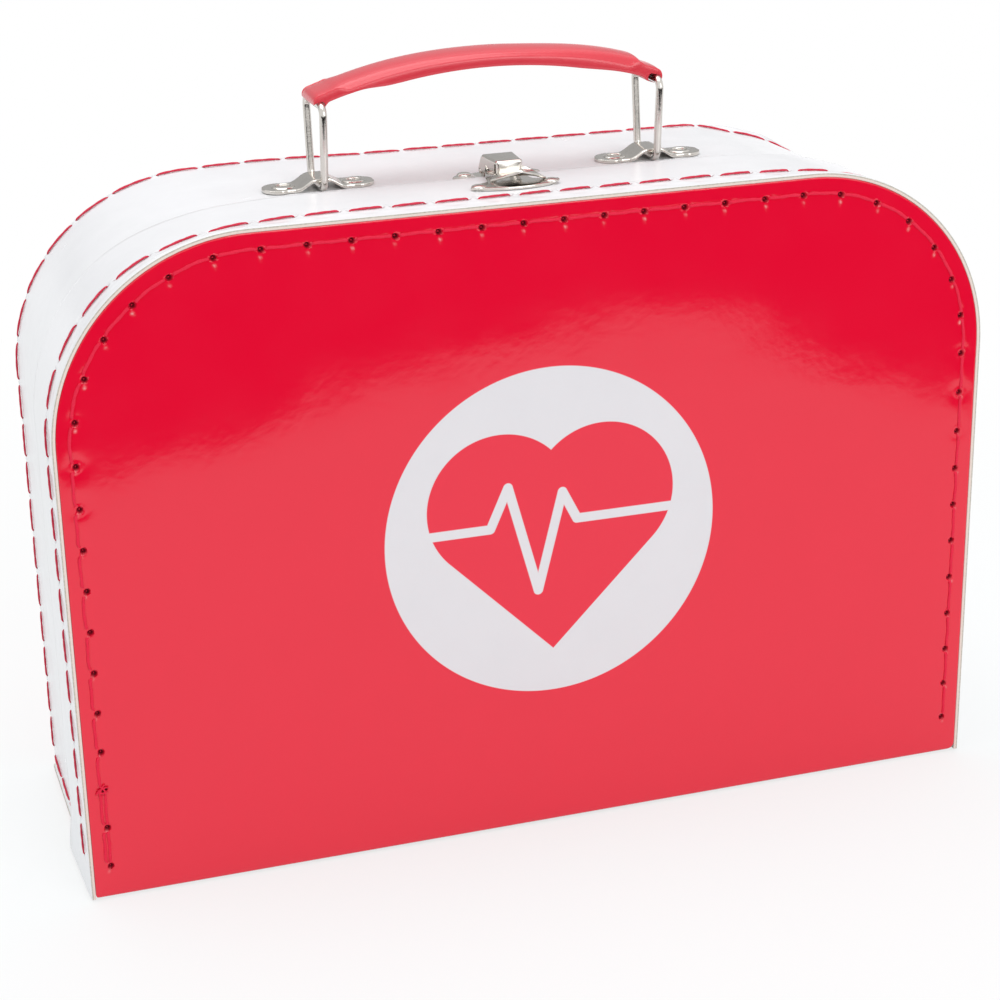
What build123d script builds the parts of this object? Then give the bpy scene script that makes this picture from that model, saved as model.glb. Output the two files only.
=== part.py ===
from build123d import *
import os
from math import atan2, copysign, cos, degrees, pi, radians, sin, tan

# Sewn cardboard play case with a drop-front lid, a swinging handle and a thumb latch.
#
# One red sheet is folded twice into back, bottom and front. A white band is sewn round the back
# and the bottom, and a second white band is sewn round the front and slips over the first.
# Frame: millimetres, X to the right, -Y to the front, Z up. The origin is on the floor, under the
# middle of the case.

# ---------------------------------------------------------------- case boards
panel_width = 250.0
panel_height = 174.0
corner_radius = 50.6
foot_radius = 2.5
case_depth = 80.0
panel_board = 1.3
band_board = 1.2
crease_radius = 1.0

# ---------------------------------------------------------------- lid over base
lid_depth = 30.0
lid_overlap = 11.0
lid_stand_out = 1.3
slip_clearance = 0.3
crease_gap = 0.3

# ---------------------------------------------------------------- sewn seams
stitch_pitch = 11.0
stitch_inset = 4.5
stitch_depth = 7.0
stitch_length = 8.6
stitch_width = 1.2
stitch_height = 0.5
thread_width = 0.6
thread_height = 0.35
needle_hole_width = 1.6
seam_foot_margin = 10.0
margin_tuck = 1.6

# ---------------------------------------------------------------- metal fittings, common
fitting_offset = -1.6
running_fit = 0.08
seat_gap = 0.05
drill_length = 8.0
washer_sheet = 0.5
clear_hole_sides = 8
fastener_sides = 12

# ---------------------------------------------------------------- handle
handle_span = 91.4
plate_length = 28.6
plate_width = 8.6
plate_sheet = 1.0
plate_waist = 1.2
bridge_foot_half = 6.4
bridge_crown_half = 1.9
tunnel_foot_inset = 1.9
tunnel_crown_inset = 0.45
eyelet_spacing = 19.4
eyelet_hole_radius = 1.75
eyelet_wall = 0.3
eyelet_flange_radius = 3.1
eyelet_rim = 0.6
eyelet_rim_slope = 35.0
eyelet_flare = 0.8
eyelet_washer_radius = 4.2
bail_wire_radius = 1.0
bail_foot_width = 14.2
bail_top_width = 18.4
bail_height = 21.4
bail_bend = 1.8
grip_width = 14.4
grip_thickness = 5.4
grip_end_thickness = 4.8
grip_rise = 8.3
grip_hole_slack = 0.25
grip_end_lean = 0.6
grip_edge_drop = 0.25
grip_dome_height = 1.4
grip_dome_width = 3.6

# ---------------------------------------------------------------- latch
latch_sheet = 0.8
keeper_length = 25.0
keeper_width = 11.5
keeper_setback = 15.2
keeper_tip_radius = 1.5
keeper_rib = 0.35
keeper_rib_length = 5.0
keeper_rib_width = 0.8
keeper_rib_inset = 1.4
latch_rivet_spacing = 19.6
latch_rivet_radius = 1.2
latch_rivet_head = 2.0
latch_rivet_dome = 0.7
latch_rivet_slope = 40.0
latch_rivet_foot = 0.5
rivet_washer_radius = 3.0
hinge_plate_length = 25.6
hinge_plate_reach = 7.3
hinge_plate_setback = 0.4
hinge_plate_tip = 0.9
hinge_plate_rivets = 16.4
hinge_rivet_setback = 2.7
pin_radius = 0.7
pin_setback = 2.2
pin_height = 1.5
ear_radius = 1.25
ear_sheet = 0.7
pin_end = 0.4
lever_sheet = 0.6
lever_front_width = 6.4
lever_back_width = 8.4
lever_length = 9.4
lever_height = 6.9
lever_lift = 1.75
lever_pin_setback = 1.7
lever_back_lift = 1.3
lever_heel = 1.0
lever_heel_rise = 0.6
visor_radius = 7.4
visor_reach = 6.0
visor_rise = 3.1
visor_foot = 3.0

# ---------------------------------------------------------------- derived places
half_width = panel_width / 2
front_y = -case_depth / 2
back_y = case_depth / 2
side_height = panel_height - corner_radius
top_half = half_width - corner_radius
lid_inner = lid_stand_out - band_board
base_outer = lid_inner - slip_clearance
lid_edge_y = front_y + lid_depth
base_edge_y = lid_edge_y - lid_overlap
bottom_half = half_width + base_outer
margin_width = stitch_depth - panel_board
margin_slant = atan2(margin_tuck, margin_width)
base_top = panel_height + base_outer
lid_top = panel_height + lid_stand_out

os.makedirs("parts", exist_ok=True)


def save(name, shape):
    """Write one node; a list becomes a group of separate solids."""
    if isinstance(shape, list):
        shape = Compound(children=shape)
    shape.label = name
    export_step(shape, f"parts/{name}.step")


def extrude_x(outline, x_low, x_high):
    """Extrude an outline drawn as (Y, Z) from one X to another."""
    return extrude(Plane.YZ.offset(x_low) * outline, amount=x_high - x_low, dir=(1, 0, 0))


def extrude_z(outline, z_low, z_high):
    """Extrude an outline drawn as (X, Y) from one Z to another."""
    return extrude(Pos(0, 0, z_low) * outline, amount=z_high - z_low, dir=(0, 0, 1))


# ================================================================ seams
sewing_radius = corner_radius - stitch_inset
sewing_arc = sewing_radius * pi / 2
seam_half = top_half + sewing_arc + side_height
stitches_each_way = int((seam_half - seam_foot_margin) / stitch_pitch + 0.5)


def seam_frame(station, face_y):
    """Frame on the panel's outline at a distance along the seam from its top middle.

    Local x runs into the case, local z outwards, and local y along the seam.
    """
    side = copysign(1, station)
    run = abs(station)
    angle = 90 - degrees(min(max(run - top_half, 0), sewing_arc) / sewing_radius)
    centre_x = side * min(run, top_half)
    centre_z = side_height - max(run - top_half - sewing_arc, 0)
    outward = (side * cos(radians(angle)), 0, sin(radians(angle)))
    origin = (centre_x + corner_radius * outward[0], face_y, centre_z + corner_radius * outward[2])
    return Plane(origin=origin, x_dir=(0, -copysign(1, face_y), 0), z_dir=outward)


def needle_hole():
    """Needle's way through a panel, local to a seam frame at a hole."""
    return Pos(panel_board / 2, 0, -stitch_inset) * Box(3 * panel_board, needle_hole_width, needle_hole_width)


def thread_leg(band_outer):
    """Thread from the panel's outer face through its hole and across the corner to the band."""
    hole_floor = -stitch_inset - needle_hole_width / 2 + seat_gap
    band_inside = band_outer - band_board - seat_gap
    leg = Polygon((0, hole_floor), (0, hole_floor + thread_width), (stitch_depth, band_inside),
                  (stitch_depth, band_inside - thread_width), align=None)
    return extrude(Plane.XZ * leg, amount=thread_width / 2, both=True)


def stitch(band_outer):
    """Thick thread lying on the band between two holes."""
    lying = Align.CENTER, Align.CENTER, Align.MIN
    return Pos(stitch_depth, 0, band_outer) * Box(stitch_width, stitch_length, stitch_height, align=lying)


def under_thread():
    """Thin thread lying on the panel's face between two holes."""
    length = stitch_pitch - needle_hole_width
    bar = Box(thread_height, length, thread_width, align=(Align.MAX, Align.CENTER, Align.CENTER))
    return Pos(0, 0, -stitch_inset) * bar


hole_stations = [side * (i + 0.5) * stitch_pitch for side in (-1, 1) for i in range(stitches_each_way)]
stitch_stations = [i * stitch_pitch for i in range(1 - stitches_each_way, stitches_each_way)]


def seam_thread(face_y, band_outer):
    """All thread of the seam between a panel and its band."""
    pieces = []
    for station in stitch_stations:
        pieces += [seam_frame(station, face_y) * part for part in (stitch(band_outer), under_thread())]
    for station in hole_stations:
        pieces.append(seam_frame(station, face_y) * thread_leg(band_outer))
    return pieces


# ================================================================ boards
def panel(face_y):
    """Front or back panel with its needle holes; face_y is its outer face."""
    blank = Rectangle(panel_width, panel_height, align=(Align.CENTER, Align.MIN))
    corners = blank.vertices().sort_by(Axis.Y)
    outline = fillet(corners[2:], corner_radius)
    outline = fillet(outline.vertices().sort_by(Axis.Y)[:2], foot_radius)
    inner_y = face_y - copysign(panel_board, face_y)
    sheet = extrude(Plane.XZ.offset(-max(face_y, inner_y)) * outline, amount=panel_board)
    holes = [seam_frame(station, face_y) * needle_hole() for station in hole_stations]
    return sheet - holes - crease_waste(face_y)


def crease_waste(face_y):
    """What the rounded crease leaves off a panel's square lower edge."""
    centre = Pos(face_y - copysign(crease_radius, face_y), crease_radius)
    corner = Pos(face_y, 0) * Rectangle(2 * crease_radius, 2 * crease_radius)
    return extrude_x(corner - centre * Circle(crease_radius), -half_width, half_width)


def band_section(outer, free_y, seam_y):
    """Section of a band at its right foot: straight, then slanting in to the seam."""
    toward_seam = copysign(1, seam_y - free_y)
    x_outer = half_width + outer
    bend_y = seam_y - toward_seam * margin_width
    inner_bend_y = bend_y - toward_seam * band_board * tan(margin_slant / 2)
    x_seam = x_outer - margin_tuck
    return Polygon((x_outer, free_y), (x_outer, bend_y), (x_seam, seam_y),
                   (x_seam - band_board / cos(margin_slant), seam_y), (x_outer - band_board, inner_bend_y),
                   (x_outer - band_board, free_y), align=None)


def band(outer, free_y, seam_y, foot_z):
    """Band bent over both sides and the top, with rounded upper corners."""
    section = Pos(0, 0, foot_z) * band_section(outer, free_y, seam_y)
    path = Polyline((half_width, foot_z), (half_width, panel_height), (-half_width, panel_height),
                    (-half_width, foot_z))
    path = Plane.XZ * fillet(path.vertices().sort_by(Axis.Y)[2:], corner_radius)
    return sweep(section, path=path)


lid_seam_y = front_y + panel_board
base_seam_y = back_y - panel_board
lid_panel = panel(front_y)
lid_band = band(lid_stand_out, lid_edge_y, lid_seam_y, 0)
base_band = band(base_outer, base_edge_y, base_seam_y, panel_board)

# bottom board, with its front corners cut back from the tucked margin of the lid band
bottom_front_y = lid_seam_y + crease_gap
relief_x = bottom_half - margin_tuck - slip_clearance
relief_y = front_y + stitch_depth + slip_clearance
half_board = [(relief_x, bottom_front_y), (bottom_half, relief_y), (bottom_half, base_seam_y)]
board_outline = Polygon(*half_board, *[(-x, y) for x, y in reversed(half_board)], align=None)
bottom_board = extrude_z(board_outline, 0, panel_board)


def bottom_frame(side, y):
    """Seam frame on the bottom board's side edge: local x is up, local z outwards."""
    return Plane(origin=(side * bottom_half, y, 0), x_dir=(0, 0, 1), z_dir=(side, 0, 0))


first_hole_y = back_y - stitch_depth
bottom_stitches = int((first_hole_y - lid_edge_y - stitch_length / 2) / stitch_pitch + 0.5)
bottom_hole_ys = [first_hole_y - i * stitch_pitch for i in range(bottom_stitches + 1)]
bottom_stitch_ys = [y - stitch_pitch / 2 for y in bottom_hole_ys[:-1]]
bottom_holes = [bottom_frame(side, y) * needle_hole() for side in (-1, 1) for y in bottom_hole_ys]
back_and_bottom = panel(back_y) + (bottom_board - bottom_holes)

bottom_thread = []
for side in (-1, 1):
    bottom_thread += [bottom_frame(side, y) * stitch(0) for y in bottom_stitch_ys]
    bottom_thread += [bottom_frame(side, y) * thread_leg(0) for y in bottom_hole_ys]


# ================================================================ rivets and eyelets
def fastener_disc(radius):
    """Outline of a small round fastener, drawn with few sides."""
    return RegularPolygon(radius, fastener_sides)


def eyelet(x, z_plate_top, z_inside):
    """Hollow eyelet with a sloping rim above the plate and a flare under the washer."""
    barrel = eyelet_hole_radius + eyelet_wall
    body = extrude_z(fastener_disc(barrel), z_inside, z_plate_top)
    rim = extrude(fastener_disc(eyelet_flange_radius), eyelet_rim, taper=eyelet_rim_slope)
    body += Pos(0, 0, z_plate_top) * rim
    body += extrude_z(fastener_disc(barrel + eyelet_flare), z_inside - eyelet_rim, z_inside)
    bore = extrude_z(fastener_disc(eyelet_hole_radius), z_inside - eyelet_rim, z_plate_top + eyelet_rim)
    return Pos(x, 0, 0) * (body - bore)


def washer(x, y, z_top, hole_radius, outer_radius):
    """Flat ring under the band."""
    ring = fastener_disc(outer_radius) - clear_hole(hole_radius)
    return Pos(x, y, 0) * extrude_z(ring, z_top - washer_sheet, z_top)


def rivet(x, y, z_plate_top, z_inside):
    """Solid rivet with a low sloping head and a flat closing head."""
    body = extrude_z(fastener_disc(latch_rivet_radius), z_inside, z_plate_top)
    head = extrude(fastener_disc(latch_rivet_head), latch_rivet_dome, taper=latch_rivet_slope)
    body += Pos(0, 0, z_plate_top) * head
    body += extrude_z(fastener_disc(latch_rivet_head), z_inside - latch_rivet_foot, z_inside)
    return Pos(x, y, 0) * body


def clear_hole(radius):
    """Many-sided hole that just clears a round part."""
    return RegularPolygon(radius + seat_gap, clear_hole_sides, major_radius=False)


def hole(x, y, z, radius):
    """Cutter for a clear hole down through a board or plate near height z."""
    return Pos(x, y, z) * extrude(clear_hole(radius), amount=drill_length / 2, both=True)


# ================================================================ handle
bail_foot_z = base_top + bail_wire_radius + seat_gap
bridge_height = 2 * bail_wire_radius + 2 * running_fit + seat_gap + plate_sheet
eyelet_barrel = eyelet_hole_radius + eyelet_wall
bridge_slope = degrees(atan2(bridge_height, bridge_foot_half - bridge_crown_half))
inside_top = base_top - band_board
washer_bottom = inside_top - washer_sheet


def handle_plate(x):
    """Two-eyelet plate, pressed up in the middle into a bridge for the bail's foot."""
    flat = Rectangle(plate_length, plate_sheet, align=(Align.CENTER, Align.MIN))
    bridge = Trapezoid(2 * bridge_foot_half, bridge_height, bridge_slope, align=(Align.CENTER, Align.MIN))
    tunnel_foot = bridge_foot_half - tunnel_foot_inset
    tunnel_crown = bridge_crown_half - tunnel_crown_inset
    tunnel_height = bridge_height - plate_sheet
    tunnel = Polygon((-tunnel_foot, 0), (-tunnel_crown, tunnel_height), (tunnel_crown, tunnel_height),
                     (tunnel_foot, 0), align=None)
    pressed = extrude(Plane.XZ * (flat + bridge - tunnel), amount=plate_width, both=True)
    end = plate_length / 2 - plate_width / 2
    plan = Rectangle(2 * end, plate_width - plate_waist)
    plan += [Pos(side * end, 0) * Circle(plate_width / 2) for side in (-1, 1)]
    plan += Rectangle(2 * bridge_foot_half, plate_width)
    plate = pressed & extrude_z(plan, 0, bridge_height)
    plate -= [hole(side * eyelet_spacing / 2, 0, 0, eyelet_barrel) for side in (-1, 1)]
    return Pos(x, 0, base_top) * plate


def bail(x):
    """Closed wire loop, wider at the grip than at the plate."""
    foot, top = bail_foot_width / 2, bail_top_width / 2
    loop = Polygon((-foot, 0), (foot, 0), (top, bail_height), (-top, bail_height), align=None)
    path = Plane.YZ * chamfer(loop.vertices(), bail_bend).wire()
    start = path.edges().sort_by(Axis.Z)[0]
    ring = Plane(origin=start @ 0.5, z_dir=start % 0.5) * Circle(bail_wire_radius)
    return Pos(x, 0, bail_foot_z) * sweep(ring, path=path, transition=Transition.RIGHT)


def grip(x_middle):
    """Arched soft grip with a sleeve across each end."""
    reach = handle_span / 2
    sleeve = grip_end_thickness / 2
    pivot_z = bail_foot_z + bail_height
    crown_z = pivot_z + sleeve + grip_rise
    top_end = reach + grip_end_lean, pivot_z + sleeve - grip_edge_drop
    low_end = reach - grip_end_lean, pivot_z - sleeve + grip_edge_drop
    upper = ThreePointArc((-top_end[0], top_end[1]), (0, crown_z), top_end)
    lower = ThreePointArc(low_end, (0, crown_z - grip_thickness), (-low_end[0], low_end[1]))
    outline = make_face([upper, Line(upper @ 1, lower @ 0), lower, Line(lower @ 1, upper @ 0)])
    outline += [Pos(side * reach, pivot_z) * Circle(sleeve) for side in (-1, 1)]
    body = extrude(Plane.XZ * outline, amount=grip_width / 2, both=True)
    top_face = body.faces().sort_by(Axis.Z)[-1]
    long_edges = top_face.edges().group_by(SortBy.LENGTH)[-1]
    body = chamfer(long_edges, grip_dome_height, grip_dome_width, reference=top_face)
    bore = extrude(Plane.XZ * clear_hole(bail_wire_radius + grip_hole_slack), amount=grip_width, both=True)
    body -= [Pos(side * reach, 0, pivot_z) * bore for side in (-1, 1)]
    return Pos(x_middle, 0, 0) * body


plate_xs = {"left": fitting_offset - handle_span / 2, "right": fitting_offset + handle_span / 2}
eyelet_places = {name: [x - eyelet_spacing / 2, x + eyelet_spacing / 2] for name, x in plate_xs.items()}
base_band -= [hole(x, 0, base_top, eyelet_barrel) for xs in eyelet_places.values() for x in xs]

# ================================================================ latch
keeper_y = front_y + keeper_setback
keeper_top = lid_top + latch_sheet
keeper_rivet_xs = [fitting_offset + side * latch_rivet_spacing / 2 for side in (-1, 1)]
hinge_rivet_xs = [fitting_offset + side * hinge_plate_rivets / 2 for side in (-1, 1)]
lens_radius = ((keeper_length / 2)**2 + (keeper_width / 2)**2) / keeper_width
lens = (Pos(0, lens_radius - keeper_width / 2) * Circle(lens_radius)
        & Pos(0, keeper_width / 2 - lens_radius) * Circle(lens_radius))
lens = fillet(lens.vertices(), keeper_tip_radius)
keeper_plate = Pos(fitting_offset, keeper_y, 0) * extrude_z(lens, lid_top, keeper_top)
rib = Pos(fitting_offset, keeper_y + keeper_width / 2 - keeper_rib_inset, keeper_top) * Box(
    keeper_rib_length, keeper_rib_width, keeper_rib, align=(Align.CENTER, Align.CENTER, Align.MIN))
keeper_plate += rib
keeper_plate -= [hole(x, keeper_y, keeper_top, latch_rivet_radius) for x in keeper_rivet_xs]
lid_band -= [hole(x, keeper_y, lid_top, latch_rivet_radius) for x in keeper_rivet_xs]

hinge_front_y = lid_edge_y + hinge_plate_setback
hinge_top = base_top + latch_sheet
pin_y = lid_edge_y + pin_setback
pin_z = hinge_top + pin_height
hinge_rivet_y = hinge_front_y + hinge_rivet_setback
arc_radius = ((hinge_plate_length / 2)**2 + hinge_plate_reach**2) / (2 * hinge_plate_reach)
behind_front = Rectangle(hinge_plate_length, hinge_plate_reach, align=(Align.CENTER, Align.MIN))
half_lens = (Pos(0, hinge_front_y + hinge_plate_reach - arc_radius) * Circle(arc_radius)
             & Pos(0, hinge_front_y) * behind_front)
half_lens = fillet(half_lens.vertices().sort_by(Axis.Y)[:2], hinge_plate_tip)
hinge_plate = Pos(fitting_offset, 0, 0) * extrude_z(half_lens, base_top, hinge_top)
ear_foot = Rectangle(2 * ear_radius, pin_height, align=(Align.CENTER, Align.MIN))
ear_outline = Pos(pin_y, pin_z) * Circle(ear_radius) + Pos(pin_y, hinge_top) * ear_foot
ear_inner = lever_back_width / 2 + 2 * running_fit
for side in (-1, 1):
    faces = sorted((fitting_offset + side * ear_inner, fitting_offset + side * (ear_inner + ear_sheet)))
    hinge_plate += extrude_x(ear_outline, *faces)
pin_axis = Pos(fitting_offset, pin_y, pin_z) * Rot(0, 90, 0)
hinge_plate -= pin_axis * extrude(clear_hole(pin_radius), amount=hinge_plate_length / 2, both=True)
hinge_plate -= [hole(x, hinge_rivet_y, hinge_top, latch_rivet_radius) for x in hinge_rivet_xs]
base_band -= [hole(x, hinge_rivet_y, base_top, latch_rivet_radius) for x in hinge_rivet_xs]
latch_pin = pin_axis * Cylinder(pin_radius, 2 * (ear_inner + ear_sheet + pin_end))


def latch_lever():
    """Folded sheet-metal lever: a tapered hollow box with a rounded thumb visor in front."""
    back = pin_y - lever_pin_setback
    front = back - lever_length
    under_back = hinge_top + lever_back_lift
    under_front = lid_top + lever_lift
    crown = hinge_top + lever_height
    side_outline = Polygon((front, under_front), (front, crown), (back, crown),
                           (pin_y + lever_heel, pin_z + lever_heel_rise), (pin_y, pin_z),
                           (back, under_back), align=None)
    side_outline += Pos(pin_y, pin_z) * Circle(ear_radius)

    def plan(inset):
        front_half = lever_front_width / 2 - inset
        back_half = lever_back_width / 2 - inset
        rear = pin_y + 2 * ear_radius
        return Polygon((-front_half, front + inset), (-back_half, back), (-back_half, rear),
                       (back_half, rear), (back_half, back), (front_half, front + inset), align=None)

    box = extrude_x(side_outline, -lever_back_width, lever_back_width)
    box &= extrude_z(plan(0), base_top, crown)
    box -= extrude_z(plan(lever_sheet), base_top, crown - lever_sheet)
    pin_hole = clear_hole(pin_radius + running_fit - seat_gap)
    box -= Pos(0, pin_y, pin_z) * Rot(0, 90, 0) * extrude(pin_hole, amount=lever_back_width, both=True)
    foot = front - visor_foot
    tip = foot - visor_reach
    under_tip = under_front + visor_rise
    sheet = Polygon((front + lever_sheet, under_front), (front + lever_sheet, under_front + lever_sheet),
                    (foot, under_front + lever_sheet), (tip, under_tip + lever_sheet), (tip, under_tip),
                    (foot, under_front), align=None)
    neck = Polygon((-lever_front_width / 2, front + lever_sheet), (-visor_radius, foot), (visor_radius, foot),
                   (lever_front_width / 2, front + lever_sheet), align=None)
    brim = Pos(0, foot) * (Ellipse(visor_radius, visor_reach)
                           & Rectangle(2 * visor_radius, visor_reach, align=(Align.CENTER, Align.MAX)))
    visor = extrude_x(sheet, -visor_radius, visor_radius) & extrude_z(neck + brim, base_top, crown)
    return Pos(fitting_offset, 0, 0) * (box + visor)


# ================================================================ write every piece
save("lid_panel", lid_panel)
save("lid_band", lid_band)
save("lid_seam_thread", seam_thread(front_y, lid_stand_out))
save("back_and_bottom_sheet", back_and_bottom)
save("base_band", base_band)
save("back_seam_thread", seam_thread(back_y, base_outer))
save("bottom_seam_thread", bottom_thread)

for name, x in plate_xs.items():
    save(f"handle_plate_{name}", handle_plate(x))
    plate_top = base_top + plate_sheet
    save(f"handle_eyelets_{name}", [eyelet(px, plate_top, washer_bottom) for px in eyelet_places[name]])
    save(f"bail_{name}", bail(x))
save("eyelet_washers", [washer(px, 0, inside_top, eyelet_barrel, eyelet_washer_radius)
                        for xs in eyelet_places.values() for px in xs])
save("handle_grip", grip(fitting_offset))

lid_inside = lid_top - band_board
save("keeper_plate", keeper_plate)
save("keeper_rivets", [rivet(x, keeper_y, keeper_top, lid_inside - washer_sheet) for x in keeper_rivet_xs])
save("keeper_washers", [washer(x, keeper_y, lid_inside, latch_rivet_radius, rivet_washer_radius)
                        for x in keeper_rivet_xs])
save("latch_hinge_plate", hinge_plate)
save("latch_hinge_rivets", [rivet(x, hinge_rivet_y, hinge_top, washer_bottom) for x in hinge_rivet_xs])
save("latch_hinge_washers", [washer(x, hinge_rivet_y, inside_top, latch_rivet_radius, rivet_washer_radius)
                             for x in hinge_rivet_xs])
save("latch_pin", latch_pin)
save("latch_lever", latch_lever())
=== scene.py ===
"""Sewn cardboard play case: its boards, seams, handle and latch, finished for rendering."""
from bisect import bisect_left
from math import asin, atan2, cos, exp, hypot, pi, sin, sqrt

import bmesh
import bpy
import numpy as np
from numpy.linalg import norm
from mathutils import Matrix, Vector, noise


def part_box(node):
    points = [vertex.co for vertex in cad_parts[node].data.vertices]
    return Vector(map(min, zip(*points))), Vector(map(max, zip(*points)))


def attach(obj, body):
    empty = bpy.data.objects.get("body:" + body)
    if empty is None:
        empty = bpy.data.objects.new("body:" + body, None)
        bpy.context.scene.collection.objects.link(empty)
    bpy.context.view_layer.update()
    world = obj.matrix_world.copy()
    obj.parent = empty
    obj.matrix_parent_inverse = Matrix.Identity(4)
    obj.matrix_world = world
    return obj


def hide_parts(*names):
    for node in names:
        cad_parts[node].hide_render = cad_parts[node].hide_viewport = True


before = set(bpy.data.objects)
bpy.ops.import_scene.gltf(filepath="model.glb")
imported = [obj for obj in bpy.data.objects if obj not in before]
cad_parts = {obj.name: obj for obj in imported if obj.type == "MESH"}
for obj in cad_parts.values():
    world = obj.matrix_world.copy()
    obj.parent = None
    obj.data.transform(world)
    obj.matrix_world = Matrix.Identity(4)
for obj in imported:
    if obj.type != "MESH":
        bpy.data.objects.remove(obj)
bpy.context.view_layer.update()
mm = 0.001


# ======== red front panel
# A flat sheet of greyboard under glossy red paper, printed with a white disc and a red motif.
# Its outline is cut and shows raw board, and a row of needle holes follows the sides and the top.
def box_mm(node_name):
    """Low and high corners of a plain solid, in millimetres."""
    return [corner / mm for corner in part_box(node_name)]


board_low, board_high = box_mm("lid_panel")
half_width, panel_height = board_high.x, board_high.z
front_y = board_low.y
board_sheet = board_high.y - board_low.y
corner_radius = 50.6
foot_radii = {1: 2.5, -1: 1.2}
crease_radius = 1
side_height = panel_height - corner_radius
top_half = half_width - corner_radius

stitch_pitch = 11
stitch_inset = 4.5
sewing_radius = corner_radius - stitch_inset
sewing_arc = sewing_radius * pi / 2
holes_each_way = 24
pit_radius, pit_depth = 0.92, 0.92
burr_drop, burr_height = 1.95, 0.24
burr_half_width, burr_half_height = 0.32, 0.36
bow_height, bow_scale = 0.16, 0.014

disc_radius = 45.7
disc_place = (2, 0, 85.5)
heart_square = 20
heart_tip = 33.5
pulse_width = 2.6
pulse_points = [(-40, 3), (-17, 3), (-12, 14), (-4, -16), (3, 11), (7, 3), (40, 3)]
print_blur = 0.12


def smooth(value):
    """0 at 0 and below, 1 at 1 and above, and a soft step between."""
    value = min(max(value, 0), 1)
    return value * value * (3 - 2 * value)


def bell(distance, width):
    """1 at no distance, fading to 0 on both sides."""
    return exp(-(distance / width)**2)


def seam_place(x, z):
    """Station along the sewing line from its top middle, and inset from the outline."""
    side = 1 if x >= 0 else -1
    if z <= side_height:
        return side * (top_half + sewing_arc + side_height - z), half_width - abs(x)
    if abs(x) <= top_half:
        return x, panel_height - z
    across, up = abs(x) - top_half, z - side_height
    return side * (top_half + atan2(across, up) * sewing_radius), corner_radius - hypot(across, up)


def outward_at(station):
    """Direction out of the panel's outline at a station."""
    angle = min(max(abs(station) - top_half, 0), sewing_arc) / sewing_radius
    return np.array((sin(angle) if station >= 0 else -sin(angle), 0, cos(angle)))


def seam_point(station, offset, y=0):
    """Point at a station, at a height over the outline and at one y."""
    run = abs(station)
    x = min(run, top_half) if station >= 0 else -min(run, top_half)
    centre = np.array((x, y, side_height - max(run - top_half - sewing_arc, 0)))
    return centre + (corner_radius + offset) * outward_at(station)


hole_stations = []
for side in (-1, 1):
    for i in range(holes_each_way):
        run = (i + 0.5) * stitch_pitch
        creep = 0.5 + 0.3 * smooth((run - 90) / 60)
        if side < 0:
            creep = -0.8 + 2.4 * smooth((run - 40) / 60) + 1.1 * smooth((run - 100) / 160)
        hole_stations.append(side * (run + creep + 0.22 * sin(5.1 * i + side)))
hole_stations.sort()
hole_places = [seam_point(station, -stitch_inset) for station in hole_stations]
last_hole = min(-hole_stations[0], hole_stations[-1]) + 1.5


def behind(face_y, depth):
    """The y at a depth behind the outer face of the front or the back."""
    return face_y + depth if face_y < 0 else face_y - depth


def nearest_index(station):
    """Number of the needle hole nearest to a station."""
    index = min(max(bisect_left(hole_stations, station), 1), len(hole_stations) - 1)
    return index - (station - hole_stations[index - 1] < hole_stations[index] - station)


def nearest_hole(station):
    """Distance along the seam from the nearest needle hole."""
    return station - hole_stations[nearest_index(station)]


def thread_inset(station):
    """Inset of the thread; down the left side it lies outside the holes."""
    return stitch_inset - 0.35 - 0.8 * smooth((-station - 105) / 35)


def link_object(name, data):
    """New object in the scene."""
    made = bpy.data.objects.new(name, data)
    bpy.context.scene.collection.objects.link(made)
    return made


def add_mesh(name, grids, materials, finishes=None, sharp=35, ring=False):
    """Mesh of tubes, each a list of rows of points in millimetres; a ring's last row joins its first.

    finishes gives, for each tube, the material of every strip between two rows.
    """
    points, faces, looks = [], [], []
    for number, rows in enumerate(grids):
        base, count, across = len(points), len(rows), len(rows[0])
        strips = finishes[number] if finishes else [0] * count
        for row in rows:
            points += [(x * mm, y * mm, z * mm) for x, y, z in row]
        for i in range(count if ring else count - 1):
            low, high = base + i * across, base + (i + 1) % count * across
            for j in range(across):
                k = (j + 1) % across
                faces.append((low + j, low + k, high + k, high + j))
                looks.append(strips[i])
        if not ring:
            faces.append(tuple(reversed(range(base, base + across))))
            faces.append(tuple(range(len(points) - across, len(points))))
            looks += [strips[0], strips[count - 2]]
    mesh = bpy.data.meshes.new(name)
    mesh.from_pydata(points, [], faces)
    for material in materials:
        mesh.materials.append(material)
    mesh.polygons.foreach_set("material_index", looks)
    mesh.shade_smooth()
    mesh.set_sharp_from_angle(angle=sharp * pi / 180)
    shell = bmesh.new()
    shell.from_mesh(mesh)
    bmesh.ops.recalc_face_normals(shell, faces=shell.faces)
    shell.to_mesh(mesh)
    shell.free()
    return link_object(name, mesh)


def store(made, name, values):
    """Keeps a number for each point of a piece, for its colour to read."""
    made.data.attributes.new(name, "FLOAT", "POINT").data.foreach_set("value", values)


def dress(made, body, node_name):
    """Fixes a finished piece to its body in place of its plain solid."""
    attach(made, body)
    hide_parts(node_name)


def feed(target, **inputs):
    """Sets or links a node's inputs, by name or by number as in_0."""
    for key, value in inputs.items():
        socket = target.inputs[int(key[3:]) if key.startswith("in_") else key.replace("_", " ")]
        if isinstance(value, bpy.types.NodeSocket):
            target.id_data.links.new(value, socket)
        else:
            socket.default_value = value


def node(source, kind, **inputs):
    """Outputs of a new shader node, set and fed, in the tree that a source lies in."""
    made = source.id_data.nodes.new("ShaderNode" + kind)
    for key, value in inputs.items():
        if hasattr(made, key):
            setattr(made, key, value)
        else:
            feed(made, **{key: value})
    return made.outputs


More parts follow.
